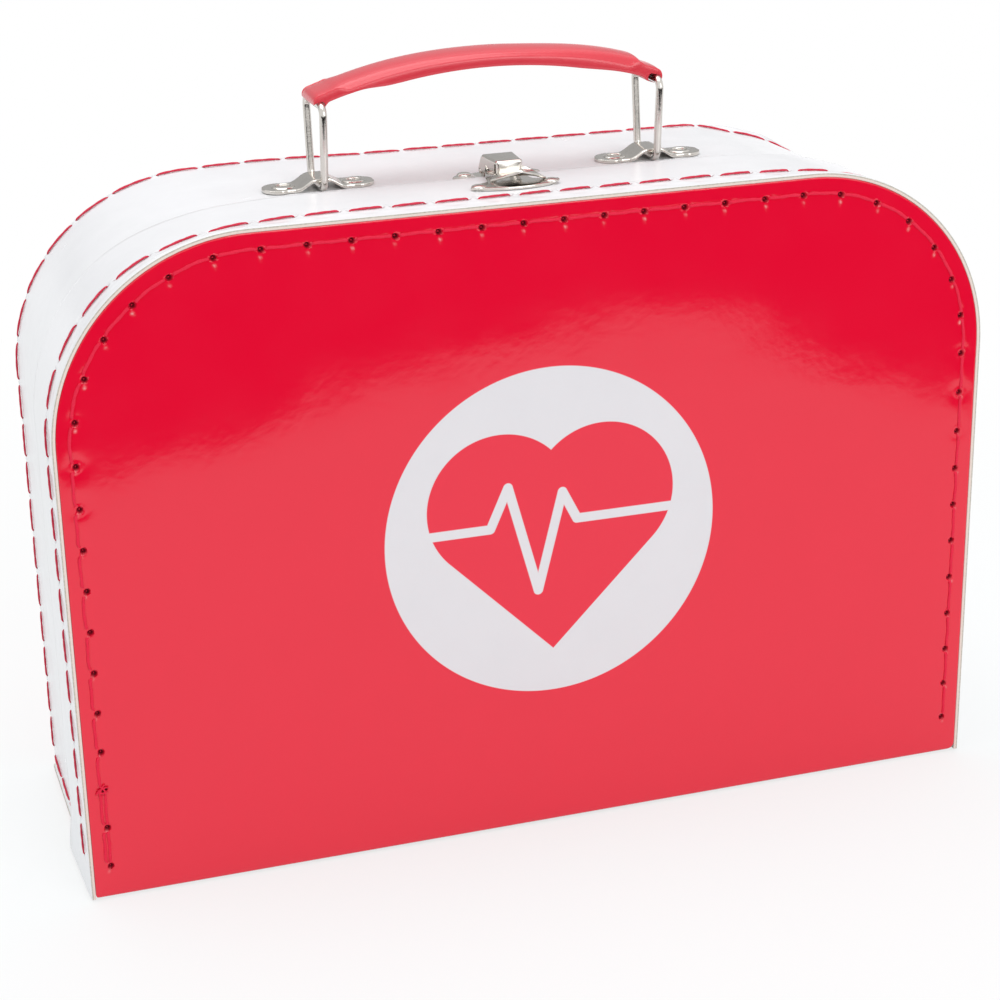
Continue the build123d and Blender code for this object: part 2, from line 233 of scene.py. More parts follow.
def maths(operation, *values, clamp=False):
    """Result of a maths node on sockets and numbers."""
    source = next(value for value in values if isinstance(value, bpy.types.NodeSocket))
    inputs = {f"in_{i}": value for i, value in enumerate(values)}
    return node(source, "Math", operation=operation, use_clamp=clamp, **inputs)[0]


def share(value, gain, bias):
    """Value times gain plus bias, kept from 0 to 1."""
    return maths("MULTIPLY_ADD", value, gain, bias, clamp=True)


def vectors(operation, *values, output=0):
    """Result of a vector maths node on a socket and others."""
    inputs = {f"in_{i}": value for i, value in enumerate(values)}
    return node(values[0], "VectorMath", operation=operation, **inputs)[output]


def mixed(amount, low, high):
    """Colour between two, by an amount from 0 to 1."""
    return node(amount, "Mix", data_type="RGBA", in_0=amount, in_6=low, in_7=high)[2]


def grain(place, scale, detail, roughness):
    """Noise from 0 to 1."""
    return node(place, "TexNoise", Vector=place, Scale=scale, Detail=detail, Roughness=roughness)[0]


def bump(height, distance, strength=1):
    """Normal for a height in metres of relief."""
    return node(height, "Bump", Strength=strength, Distance=distance, Height=height)["Normal"]


def effect_group(name, outputs, **inputs):
    """Empty node group that takes a place and named numbers, and its two ends."""
    group = bpy.data.node_groups.new(name, "ShaderNodeTree")
    new_socket = group.interface.new_socket
    new_socket("Place", in_out="INPUT", socket_type="NodeSocketVector")
    for label, value in inputs.items():
        new_socket(label, in_out="INPUT", socket_type="NodeSocketFloat").default_value = value
    for label in outputs:
        new_socket(label, in_out="OUTPUT", socket_type="NodeSocketFloat")
    return group, group.nodes.new("NodeGroupInput").outputs, group.nodes.new("NodeGroupOutput")


def new_material(name, **sockets):
    """Material, its Principled shader with plain values set, and the place on the object."""
    made = bpy.data.materials.new(name)
    made.use_nodes = True
    tree = made.node_tree
    shader = tree.nodes["Principled BSDF"]
    feed(shader, **sockets)
    return made, shader, node(tree, "TexCoord")["Object"]


# laminated paper: slow waves from the glue under it, fine orange peel, and faint rubbed spots
laminate, given, result = effect_group("paper_laminate", ["Height", "Rubbed"], Waves=1, Peel=1)
waves = maths("MULTIPLY", grain(given["Place"], 22, 2, 0.45), given["Waves"])
peel = maths("MULTIPLY", grain(given["Place"], 420, 3, 0.5), given["Peel"])
rubs = grain(given["Place"], 60, 5, 0.65)
feed(result, Height=maths("ADD", waves, peel), Rubbed=maths("SUBTRACT", rubs, 0.5))

# pressed greyboard: short pale and dark fibres
fibres, given, result = effect_group("board_fibres", ["Shade"], Scale=900)
fleck = grain(given["Place"], given["Scale"], 4, 0.7)
feed(result, Shade=maths("SUBTRACT", fleck, 0.5))


def fibrous(name, dark, light, scale, contrast, bias, relief, strength, **sockets):
    """Matt board or paper, its fibres in two tones."""
    made, shader, place = new_material(name, **sockets)
    shade = node(place, "Group", node_tree=fibres, Place=place, Scale=scale)["Shade"]
    feed(shader, Base_Color=mixed(share(shade, contrast, bias), dark, light),
         Normal=bump(shade, relief, strength))
    return made


raw_board = fibrous("raw_board_edge", (0.4, 0.37, 0.31, 1), (0.8, 0.75, 0.66, 1), scale=1400, contrast=1.6,
                    bias=0.4, relief=0.0002, strength=0.6, Roughness=0.9, Specular_IOR_Level=0.2)
lining_paper = fibrous("lining_paper", (0.7, 0.69, 0.65, 1), (0.8, 0.79, 0.76, 1), scale=420, contrast=0.8,
                       bias=0.4, relief=0.0001, strength=0.4, Roughness=0.75, Specular_IOR_Level=0.3)


def red_laminate(name, printed):
    """Glossy red paper, plain or printed with the disc and its motif, with painted shade in its needle holes
    and pale torn fibres with a painted highlight on its burrs.
    """
    made, shader, place = new_material(name, IOR=1.61)
    paper = node(place, "Group", node_tree=laminate, Place=place, Waves=0.8, Peel=0.03)
    mottle = share(paper["Rubbed"], 0.5, 0.5)
    colour = mixed(mottle, (0.77, 0.001, 0.027, 1), (0.83, 0.0026, 0.034, 1))
    if printed:
        disc, motif = printed_masks(place)
        white = mixed(mottle, (0.7, 0.685, 0.715, 1), (0.79, 0.765, 0.79, 1))
        colour = mixed(disc, colour, white)
        colour = mixed(motif, colour, (0.81, 0.003, 0.034, 1))
    hole, torn_and_highlight, rim = (node(place, "Attribute", attribute_name=mark)["Fac"]
                       for mark in ("needle_hole_shade", "torn_paper_highlight", "cut_edge"))
    # painted shade: the needle holes are coloured near black for the shade inside them
    colour = mixed(hole, colour, (0.09, 0.003, 0.009, 1))
    # pale torn paper fibres and a painted highlight on the burr under each hole
    colour = mixed(maths("MULTIPLY", torn_and_highlight, 0.95), colour, (0.92, 0.46, 0.45, 1))
    colour = mixed(maths("MULTIPLY", rim, 0.3), colour, (0.72, 0.08, 0.08, 1))
    gloss = maths("MULTIPLY_ADD", paper["Rubbed"], 0.08, 0.1)
    feed(shader, Base_Color=colour, Roughness=maths("MULTIPLY_ADD", hole, 0.6, gloss),
         Specular_IOR_Level=maths("MULTIPLY_ADD", hole, -0.45, 0.5),
         Normal=bump(paper["Height"], 0.0006))
    return made


def printed_masks(place):
    """Masks of the printed disc and of the heart with its pulse line."""
    def inside(distance):
        return maths("SUBTRACT", 0.5, maths("DIVIDE", distance, 2 * print_blur), clamp=True)
    flat = vectors("MULTIPLY", place, (1 / mm, 0, 1 / mm))
    middle = vectors("SUBTRACT", flat, disc_place)
    disc = inside(maths("SUBTRACT", vectors("LENGTH", middle, output=1), disc_radius))
    from_tip = vectors("SUBTRACT", middle, (0, 0, -heart_tip + heart_square * sqrt(2)))
    split = node(place, "SeparateXYZ", Vector=from_tip)
    slants = [maths("MULTIPLY", maths(way, split["Z"], split["X"]), sqrt(0.5))
              for way in ("ADD", "SUBTRACT")]
    square = maths("MAXIMUM", *(maths("ABSOLUTE", slant) for slant in slants))
    heart = maths("SUBTRACT", square, heart_square)
    lobe_reach = heart_square * sqrt(0.5)
    for side in (-1, 1):
        to_lobe = vectors("SUBTRACT", from_tip, (side * lobe_reach, 0, lobe_reach))
        lobe = maths("SUBTRACT", vectors("LENGTH", to_lobe, output=1), heart_square)
        heart = maths("MINIMUM", heart, lobe)
    line = 1000
    for (x, z), (next_x, next_z) in zip(pulse_points, pulse_points[1:]):
        stroke = Vector((next_x - x, 0, next_z - z))
        start = vectors("SUBTRACT", middle, (x, 0, z))
        along = vectors("DOT_PRODUCT", start, stroke / stroke.length_squared, output=1)
        along = maths("MINIMUM", maths("MAXIMUM", along, 0), 1)
        nearest = node(along, "VectorMath", operation="SCALE", in_0=stroke, Scale=along)[0]
        line = maths("MINIMUM", line, vectors("DISTANCE", start, nearest, output=1))
    off_line = maths("SUBTRACT", pulse_width / 2, line)
    return disc, inside(maths("MAXIMUM", heart, off_line))


red_front = red_laminate("red_laminate_printed", True)
red_plain = red_laminate("red_laminate_plain", False)

skin_insets = [12, 9.5, 8, 7, 6.3, 5.8, 5.4, 5.1, 4.8, 4.5, 4.2, 3.9, 3.6, 3.2, 2.7, 2, 1.2, 0.6, 0.22]
lining_insets = [0.3, 2.5, 3.4, 3.8, 4.2, 4.5, 4.8, 5.2, 5.6, 6.6, 12]
point_spacing = 0.45
centre_rings = 9


def outline_ring(inset):
    """Closed ring of (x, z) inside the panel's outline, alike in count at any inset."""
    upper = corner_radius - inset
    side_points = int((side_height - foot_radii[1]) / point_spacing)
    corner_points = int(corner_radius * pi / 2 / point_spacing)
    top_points = int(top_half / point_spacing)
    halves = []
    for side, radius in foot_radii.items():
        foot = max(radius - inset, 0.3)
        half = [(half_width - inset - foot * (1 - sin(a)), inset + foot * (1 - cos(a)))
                for a in np.linspace(0, 1.4, 5)]
        half += [(half_width - inset, z) for z in np.linspace(inset + foot, side_height, side_points, False)]
        for angle in np.linspace(0, pi / 2, corner_points, endpoint=False):
            half.append((top_half + upper * cos(angle), side_height + upper * sin(angle)))
        half += [(top_half * (1 - i / top_points), panel_height - inset) for i in range(top_points)]
        halves.append([(side * x, z) for x, z in half])
    right, left = halves
    bottom = [(x, inset) for x in np.linspace(left[0][0], right[0][0], 130)[1:-1]]
    return right + [(0, panel_height - inset)] + left[::-1] + bottom


def hole_mark(x, z, radius):
    """How far inside a needle hole a point of the panel is, from 0 to 1."""
    station, inset = seam_place(x, z)
    return smooth((radius - hypot(nearest_hole(station), inset - stitch_inset)) / (0.5 * radius))


def torn_burr(x, z):
    """Height share of the little torn burr under a needle hole, also the share of its pale colour: torn paper
    fibres and a painted highlight.
    """
    index = nearest_index(seam_place(x, z)[0])
    hole = hole_places[index]
    on_side = smooth((side_height + 12 - hole[2]) / 20)
    across = x - hole[0] - 0.55 * on_side * np.sign(hole[0]) + 0.25 * sin(2.3 * index)
    down = hole[2] - z - burr_drop + 0.55 * on_side
    strength = (0.7 + 0.3 * sin(3.7 * index)) * (1 - 0.5 * on_side)
    return strength * bell(across, burr_half_width) * bell(down, burr_half_height)


def panel_relief(x, z):
    """Depth of the panel's outer face below its plane."""
    station, inset = seam_place(x, z)
    from_hole = hypot(nearest_hole(station), inset - stitch_inset)
    depth = pit_depth * smooth((pit_radius - from_hole) / 0.45)
    if from_hole < 6 and z > 4:
        depth += 0.13 * bell(from_hole, 2.6) - 0.07 * bell(from_hole - 1.2, 0.35)
        depth -= burr_height * torn_burr(x, z)
    if inset < 6.5 and z > 9:
        depth += 0.06 * bell(inset - thread_inset(station), 0.6)
    bow = noise.noise(Vector((x * bow_scale, z * bow_scale, 3.7))) * smooth((inset - 6) / 40)
    return depth - bow_height * bow


def lining_depth(x, z):
    """Depth of the panel's inside face, dented at the holes."""
    return board_sheet - 0.12 * hole_mark(x, z, 0.9)


def panel_rings(face_y, drawn_in=0):
    """Rings of a panel's skin, cut edge and lining, and the finish of each strip.

    A panel that is cut narrower, drawn in, keeps its lower edge where it is.
    """
    middle_z = panel_height * 0.46
    rings, finishes = [], []

    def add_ring(ring, depth_at, finish):
        row = []
        for x, z in ring:
            depth = depth_at(x, z)
            from_turn = hypot(crease_radius - z, crease_radius - depth) / crease_radius
            if z < crease_radius and depth < crease_radius and from_turn > 1:
                depth = crease_radius - (crease_radius - depth) / from_turn
                z = crease_radius - (crease_radius - z) / from_turn
            row.append((x, behind(face_y, depth), z))
        rings.append(row)
        finishes.append(finish)

    def trimmed(inset):
        return [(x, max(z - drawn_in * smooth(1 - z / 20), inset - drawn_in)) for x, z in outline_ring(inset)]
    for k in range(centre_rings):
        part = (k + 0.35) / centre_rings
        ring = [(x * part, middle_z + (z - middle_z) * part) for x, z in outline_ring(skin_insets[0])]
        add_ring(ring, panel_relief, 0)
    for inset in skin_insets:
        add_ring(trimmed(max(inset, inset * 0.2 + drawn_in)), panel_relief, 0)
    for inset, depth, finish in ((0.07, 0.07, 0), (0, 0.22, 1), (0, board_sheet - 0.15, 1),
                                 (0.12, board_sheet, 2)):
        add_ring(trimmed(inset + drawn_in), lambda x, z: depth, finish)
    for inset in lining_insets:
        add_ring(trimmed(max(inset, inset * 0.2 + drawn_in)), lining_depth, 2)
    return rings, finishes[:-1]


def mark_panel(panel, face_y, drawn_in=0):
    """Stores which points lie in needle holes, for their painted shade, on torn burrs, for their torn fibres
    and painted highlight, and on the cut edge.
    """
    holes, torn_and_highlight_marks, rims = [], [], []
    for vertex in panel.data.vertices:
        x, y, z = vertex.co / mm
        outer = abs(y - face_y) < board_sheet + 0.3
        holes.append(hole_mark(x, z, 0.98) if outer and z > 6 else 0)
        torn_and_highlight_marks.append(torn_burr(x, z) if outer and z > 5 else 0)
        rims.append(smooth((0.3 + drawn_in - seam_place(x, z)[1]) / 0.3) if z > 2 else 0)
    store(panel, "needle_hole_shade", holes)
    store(panel, "torn_paper_highlight", torn_and_highlight_marks)
    store(panel, "cut_edge", rims)


rings, finishes = panel_rings(front_y)
front_panel = add_mesh("front_panel", [rings], [red_front, raw_board, lining_paper], [finishes])
mark_panel(front_panel, front_y)
dress(front_panel, "lid", "lid_panel")

# ======== back panel and bottom board
# The rest of the red sheet: the back panel, folded at its lower edge into the bottom board.
# Both are sewn to the base band along their sides.
back_y = box_mm("back_and_bottom_sheet")[1].y
base_outer = -0.2
bottom_half = half_width + base_outer
bottom_front_y = front_y + board_sheet + 0.3
bottom_back_y = back_y - board_sheet + 0.2
back_drawn_in = 2.8
relief_x, relief_y = bottom_half - 1.9, front_y + 7.3
board_plan = [(relief_x, bottom_front_y), (bottom_half, relief_y), (bottom_half, bottom_back_y)]
board_plan += [(-x, y) for x, y in reversed(board_plan)]
board_rings = [[(x - inset * np.sign(x), y - inset * np.sign(y), z) for x, y in board_plan] for inset, z in
               ((0.15, 0), (0, 0.15), (0, board_sheet - 0.1), (0.1, board_sheet))]
rings, finishes = panel_rings(back_y, back_drawn_in)
back_sheet = add_mesh("back_and_bottom", [rings, board_rings], [red_plain, raw_board, lining_paper],
                      [finishes, [0, 1, 2]])
mark_panel(back_sheet, back_y, back_drawn_in)
dress(back_sheet, "base", "back_and_bottom_sheet")

# ======== white bands
# Thin board under satin white paper, bent round the sides and the top. Each band wraps its panel,
# so its raw edge shows as a fine strip round the red; it sinks a little at the two bends.
band_sheet = 1.2
stitch_depth = 7
lid_edge_y = box_mm("lid_band")[1].y
base_edge_y = box_mm("base_band")[0].y
lid_outer = box_mm("lid_band")[1].x - half_width
lid_margin_drop, base_margin_drop = 0.18, 1.45
bend_station, bend_reach = 85, 17
foot_flare = 1.1
row_spacing = 0.55

white_paper, shader, place = new_material("white_laminate", IOR=1.5)
paper = node(place, "Group", node_tree=laminate, Place=place, Waves=0.8, Peel=0.01)
white = mixed(share(paper["Rubbed"], 0.9, 0.5), (0.8, 0.805, 0.83, 1), (0.87, 0.87, 0.89, 1))
# painted shade: the needle holes at the ends of the stitches are coloured dark brown
hole = node(place, "Attribute", attribute_name="needle_hole_shade")["Fac"]
feed(shader, Base_Color=mixed(hole, white, (0.3, 0.14, 0.15, 1)), Normal=bump(paper["Height"], 0.0014),
     Roughness=maths("MULTIPLY_ADD", paper["Rubbed"], 0.16, 0.24))
pale_core = fibrous("pale_board_core", (0.76, 0.62, 0.56, 1), (0.88, 0.78, 0.72, 1), scale=1600, contrast=1.4,
                    bias=0.5, relief=0.0001, strength=0.5, Roughness=0.85, Specular_IOR_Level=0.2)


def lid_sink(station, y):
    """How far the lid band has sunk, at the bends and along its free edge."""
    part = (y - front_y) / (lid_edge_y - front_y)
    droop = 0.2 * part**2 * smooth((110 - abs(station)) / 30)
    at_bends = bell(abs(station) - bend_station, bend_reach)
    return (1.2 * min(max((y - front_y - 1.6) / 5.4, 0), 1) + 0.3 * part) * at_bends + droop


def base_sink(station, y):
    """How far the base band has sunk, most at the right rear bend."""
    rear = (y - base_edge_y) / (back_y - base_edge_y)
    front = 1.6 * bell(abs(station) - bend_station, bend_reach) + 0.12 * smooth((-6 - y) / 6)
    right = 2.6 * smooth((station - 68) / 16) * (1 - smooth((station - 99) / 25))
    left = -0.6 * bell(station + 55, 20) * smooth((y - 10) / 20)
    margin = min(max((back_y - 1.6 - y) / 5.4, 0.35), 1)
    return front * (1 - rear) + margin * right * rear + left


def band_relief(station, depth):
    """Depth of the band's outer skin below its plain shape."""
    along = nearest_hole(station)
    wander = 0.08 * noise.noise(Vector((station * 0.035, depth * 0.05, 8.1)))
    if abs(station) > last_hole:
        return wander
    from_line = depth - stitch_depth
    pressed = 0.24 * bell(from_line, 0.9) * smooth((abs(along) - 0.9) / 0.8)
    pinch = -0.3 * bell(from_line, 1.4) * bell(along, 0.7)
    ends = 0.35 * bell(from_line, 0.5) * bell(abs(along) - 1, 0.35)
    swell = -0.12 * bell(from_line + 3.2, 1.6) * cos(2 * pi * along / stitch_pitch)
    return pressed + pinch + ends + swell + wander


def band_section(outer, drop, sink, face_y, free_depth, station):
    """Closed section of a band: (offset, depth, finish of the strip that starts there)."""
    depths = list(np.arange(0.5, 10, 0.5))
    depths += list(np.linspace(10, free_depth - 0.25, 12 if free_depth < 40 else 26))

    def plain(depth):
        margin = drop * max((stitch_depth - depth) / stitch_depth, 0)**1.3
        return outer - margin - sink(station, behind(face_y, depth))
    rim = plain(0)
    section = [(rim - 0.9, 0.02, 3), (rim - 0.46, 0, 1), (rim - 0.1, 0, 0), (rim - 0.03, 0.05, 0),
               (rim, 0.16, 0)]
    section += [(plain(depth) - smooth((depth - 1.5) / 2) * band_relief(station, depth), depth, 0)
                for depth in depths]
    free = plain(free_depth)
    section += [(free - 0.07, free_depth - 0.07, 0), (free - 0.25, free_depth, 1),
                (free - band_sheet + 0.2, free_depth, 1), (free - band_sheet, free_depth - 0.2, 2)]
    for depth in reversed(depths[::2]):
        sheet = band_sheet - 0.15 * max(1 - depth / 2.5, 0)
        section.append((plain(depth) - sheet - 0.2 * bell(depth - stitch_depth, 0.8), depth, 2))
    return section + [(rim - 1.05, 0.1, 3)]


def add_band(name, outer, drop, sink, face_y, free_depth, foot_z):
    """One band, with its cut edges in raw board and its inside in lining paper."""
    reach = top_half + sewing_arc + side_height - foot_z
    rows, marks = [], []
    for station in np.linspace(-reach, reach, int(2 * reach / row_spacing)):
        section = band_section(outer, drop, sink, face_y, free_depth, station)
        along = abs(nearest_hole(station)) - 1
        row = []
        for offset, depth, finish in section:
            flare = foot_flare * smooth((-station - reach + 14) / 14) * depth / free_depth * (face_y < 0)
            row.append(seam_point(station, offset + flare, behind(face_y, depth)))
            near = hypot(along / 0.4, (depth - stitch_depth) / 0.45)
            # where the needle holes get their painted shade
            marks.append(smooth(1.3 - near) if finish == 0 and abs(station) < last_hole else 0)
        rows.append(row)
    made = add_mesh(name, [rows], [white_paper, raw_board, lining_paper, pale_core])
    looks = [section[polygon.index % len(section)][2] for polygon in made.data.polygons]
    looks[-2:] = [1, 1]
    made.data.polygons.foreach_set("material_index", looks)
    store(made, "needle_hole_shade", marks)
    return made


lid_band = add_band("lid_band_white", lid_outer, lid_margin_drop, lid_sink, front_y, lid_edge_y - front_y, 0)
dress(lid_band, "lid", "lid_band")
base_band = add_band("base_band_white", base_outer, base_margin_drop, base_sink, back_y, back_y - base_edge_y,
                     board_sheet)
dress(base_band, "base", "base_band")

# ======== sewn thread
# Thick two-ply polyester thread. On the bands each stitch is a flat, twisted lens that dives into
# its holes; on the panels a thin strand joins the holes, and short legs cross the corner inside.
thick_sides, fine_sides = 7, 6
leg_radius = 0.28
ply_turn = 4.6
along_y, along_z = np.array((0, 1.0, 0)), np.array((0, 0, 1.0))


def thread_finish(name, deep, light):
    """Twisted red thread, its fine fibres in two tones."""
    made, shader, place = new_material(name, Roughness=0.7, Specular_IOR_Level=0.12)
    strands = grain(place, 3200, 3, 0.6)
    feed(shader, Base_Color=mixed(share(strands, 1.6, -0.3), deep, light),
         Normal=bump(strands, 0.00025, 0.8))
    return made


# One thread in two copies: the copy for the fine strands is lighter, a painted highlight for the light that
# the strands on the panels catch from above.
red_thread = thread_finish("red_thread", (0.56, 0.026, 0.058, 1), (0.74, 0.06, 0.11, 1))
fine_thread_lit_copy = thread_finish("fine_red_thread", (0.76, 0.012, 0.046, 1), (0.9, 0.038, 0.088, 1))


def strand(ovals, sides):
    """Rows of a tube through ovals: centre, across and up ways, and half size along each."""
    turns = [2 * pi * j / sides for j in range(sides)]
    return [[centre + across * width * cos(turn) + up * height * sin(turn) for turn in turns]
            for centre, across, up, width, height in ovals]


def ply_pair(middle, half, place_at, across, twist_start):
    """Two plies of one stitch; place_at gives its resting point and outward way."""
    plies = []
    for ply in (0, 1):
        ovals = []
        for t in np.linspace(-1, 1, 21):
            origin, outward = place_at(middle + t * half)
            turn = twist_start + pi * ply + t * ply_turn
            body = max(1 - abs(t)**4, 0.04)**0.5
            rise = 0.08 + 0.14 * body - 0.7 * smooth((abs(t) - 0.86) / 0.14) + 0.06 * body * sin(turn)
            centre = origin + outward * rise + across * (0.42 * t + 0.17 * body * cos(turn))
            ovals.append((centre, across, outward, 0.27 * body + 0.05, 0.21 * body + 0.04))
        plies.append(strand(ovals, thick_sides))
    return plies


def panel_thread(first, last, face_y, shift=0):
    """Thin strand on a panel's face from the rim of one needle hole to the next."""
    length = last - first
    ovals = []
    for t in np.linspace(0.06, 0.94, 17):
        station = first + t * length
        from_end = min(t, 1 - t) * length
        sunk = smooth((1.35 - from_end) / 0.7) - 0.05
        inset = thread_inset(station) + shift + 0.08 * sin(9 * t + first)
        inset += (stitch_inset - inset) * 0.6 * smooth((2.2 - from_end) / 2.2)
        ovals.append((seam_point(station, -inset, behind(face_y, sunk)), outward_at(station), along_y,
                      0.41 + 0.04 * sin(23 * t + last), 0.26))
    return strand(ovals, fine_sides)


def inner_leg(start, end, beside, parts):
    """Strand inside the case, across the corner from hole to hole."""
    beside = beside / norm(beside)
    rise = np.cross(beside, (end - start) / norm(end - start))
    return strand([(start + (end - start) * t, beside, rise, leg_radius, leg_radius)
                   for t in np.linspace(0, 1, parts)], fine_sides)


def thread_knot(station, offset, face_y):
    """Fuzzy end of the thread: short crossing loops."""
    loops = []
    for turn, reach, bow in ((0.5, 1.9, 0.7), (2, 1.5, -0.6), (1.2, 2, 0.5), (2.7, 1.3, 0.5),
                             (0.1, 1.5, -0.5)):
        ahead, beside = np.array((cos(turn), 0, sin(turn))), np.array((-sin(turn), 0, cos(turn)))
        ovals = []
        for t in np.linspace(-1, 1, 9):
            bowed = 1 - t * t
            centre = seam_point(station, offset, behind(face_y, -0.25 - 0.2 * bowed))
            ovals.append((centre + ahead * reach * t + beside * bow * bowed, beside, along_y, 0.24, 0.2))
        loops.append(strand(ovals, fine_sides))
    return loops


def add_seam(name, face_y, outer, sink, clearance, body, node_name):
    """All the thread of one seam."""
    line_y = behind(face_y, stitch_depth)
    across = along_y if face_y < 0 else -along_y

    def rest_at(station):
        return seam_point(station, outer - sink(station, line_y), line_y), outward_at(station)
    grids = []
    for number, (first, last) in enumerate(zip(hole_stations, hole_stations[1:])):
        half = (last - first) / 2 - clearance
        grids += ply_pair((first + last) / 2, half, rest_at, across, 0.9 * number)
        grids.append(panel_thread(first, last, face_y))
    for first, last in zip(hole_stations[:2], hole_stations[1:3]):
        grids.append(panel_thread(first, last, face_y, 1.15))
    grids += thread_knot(hole_stations[2], 0.6 - stitch_inset, face_y)
    for station in hole_stations:
        start = seam_point(station, -stitch_inset - 0.1, behind(face_y, board_sheet - 0.25))
        end = seam_point(station, outer - band_sheet - 0.35 - sink(station, line_y), line_y)
        grids.append(inner_leg(start, end, np.cross(end - start, outward_at(station)), 3))
    finishes = [[int(len(rows[0]) == fine_sides)] * len(rows) for rows in grids]
    dress(add_mesh(name, grids, [red_thread, fine_thread_lit_copy], finishes, sharp=80), body, node_name)


add_seam("lid_seam_stitches", front_y, lid_outer, lid_sink, 0.85, "lid", "lid_seam_thread")
add_seam("back_seam_stitches", back_y, base_outer, base_sink, 0.18, "base", "back_seam_thread")

# ======== bottom seam
# The same thick thread joins the bottom board to the foot of the base band: three long stitches a
# side outside, and short legs across the corner inside.
bottom_pitch = 14.67
bottom_stitch_half = 6.7
bottom_hole_ys = [back_y - stitch_depth - i * bottom_pitch for i in range(4)]
grids = []
for side in (-1, 1):
    def rest_on_side(y):
        return np.array((side * bottom_half, y, stitch_depth)), np.array((side * 1.0, 0, 0))
    for number, hole_y in enumerate(bottom_hole_ys[:-1]):
        grids += ply_pair(hole_y - bottom_pitch / 2, bottom_stitch_half, rest_on_side, along_z, 0.7 * number)
    for hole_y in bottom_hole_ys:
        start = np.array((side * (bottom_half - stitch_inset - 0.3), hole_y, 0.5))
        end = np.array((side * (bottom_half - band_sheet - 0.35), hole_y, stitch_depth))
        grids.append(inner_leg(start, end, along_y, 2))
bottom_stitches = add_mesh("bottom_seam_stitches", grids, [red_thread], sharp=80)
dress(bottom_stitches, "base", "bottom_seam_thread")

# ======== handle plates
# Two nickel-plated steel strips with rounded ends. Each is pressed up in the middle into a bridge
# over the foot of its wire loop, and its cut edges are rounded by tumbling.
fitting_x = -1.6
base_top = box_mm("handle_plate_left")[0].z
plate_half = 14.9
plate_side = 4.8
plate_waist = 0.45
plate_sheet = 1
bridge_height = box_mm("handle_plate_left")[1].z - base_top - plate_sheet
bridge_foot, bridge_crown = 6.6, 1.7
plate_xs = {}
for side in ("left", "right"):
    plate_xs[side] = sum(corner.x for corner in box_mm("handle_plate_" + side)) / 2

# polished plating: fine scratches in two directions and faint finger marks
polish, given, result = effect_group("metal_polish", ["Height", "Dull"], Wear=1)
streaks = vectors("MULTIPLY", given["Place"], (260, 2600, 1500))
fine_height = maths("MULTIPLY", grain(streaks, 1, 3, 0.6), 0.05)
height = maths("MULTIPLY_ADD", grain(given["Place"], 240, 2, 0.5), 0.14, fine_height)
marks = grain(given["Place"], 330, 5, 0.7)
feed(result, Height=maths("MULTIPLY", height, given["Wear"]),
     Dull=maths("SUBTRACT", marks, 0.5))

nickel, shader, place = new_material("nickel_plate", Metallic=1)
plating = node(place, "Group", node_tree=polish, Place=place, Wear=1)
tint = mixed(share(plating["Dull"], 1.2, 0.5), (0.6, 0.57, 0.53, 1), (0.7, 0.67, 0.63, 1))
feed(shader, Base_Color=tint, Roughness=maths("MULTIPLY_ADD", plating["Dull"], 0.3, 0.17),
     Normal=bump(plating["Height"], 0.00025))


def add_nickel(name, grids, body, node_name, ring=False):
    """A finished piece of nickel-plated steel."""
    dress(add_mesh(name, grids, [nickel], ring=ring), body, node_name)


def stations_along(reach, count):
    """Distances from end to end of a piece, closer together at its ends."""
    return reach * np.sin(np.linspace(-pi / 2, pi / 2, count))


def round_end(run, reach, radius):
    """Half width that the round of an end leaves at a distance from the middle."""
    return sqrt(max(radius**2 - max(run - reach + radius, 0)**2, 0.0004))


def sheet_section(middle, half, low, high, rounding):
    """Closed (y, z) section of a flat strip of sheet with rounded edges."""
    turn = min(rounding, 0.6 * half, 0.45 * (high - low))
    nip = turn * (1 - sqrt(0.5))
    across = np.linspace(-1, 1, 11) * (half - turn)
    edge = [(half - nip, high - nip), (half, high - turn), (half, low + turn), (half - nip, low + nip)]
    section = [(y, high) for y in across] + edge
    section += [(y, low) for y in reversed(across)] + [(-y, z) for y, z in reversed(edge)]
    return [(middle + y, z) for y, z in section]


for side, plate_x in plate_xs.items():
    rows = []
    for x in stations_along(plate_half, 121):
        run = abs(x)
        half = plate_side - plate_waist * smooth((run - bridge_foot + 1.2) / 1.5) * smooth((10.6 - run) / 2)
        half = min(half, round_end(run, plate_half, plate_side))
        low = base_top + bridge_height * smooth((bridge_foot - run) / (bridge_foot - bridge_crown))
        rim = 0.3 * smooth((0.35 - (plate_half - run)) / 0.35)
        rows.append([(plate_x + x, y, z) for y, z in
                     sheet_section(0, half, low + rim, low + plate_sheet - rim, 0.32)])
    add_nickel(f"plate_{side}", [rows], "base", f"handle_plate_{side}")

# ======== eyelets and their washers
# Tubular steel eyelets, a pair to each handle plate. They go through the top of the base band, are
# rolled over on top of the plate and flared over washers inside the case.
eyelet_spacing = 18.7
eyelet_hole, eyelet_barrel = 1.95, 2.25
washer_low, board_under = (corner.z for corner in box_mm("eyelet_washers"))


def lathe(profile, centre, axis="z", steps=40):
    """Ring of a turned part; the profile gives radius and height along the axis."""
    rows = []
    for angle in np.arange(steps) * 2 * pi / steps:
        turned = [(radius * cos(angle), radius * sin(angle), rise) for radius, rise in profile]
        rows.append([np.add(centre, (u, v, rise) if axis == "z" else (rise, u, v)) for u, v, rise in turned])
    return rows


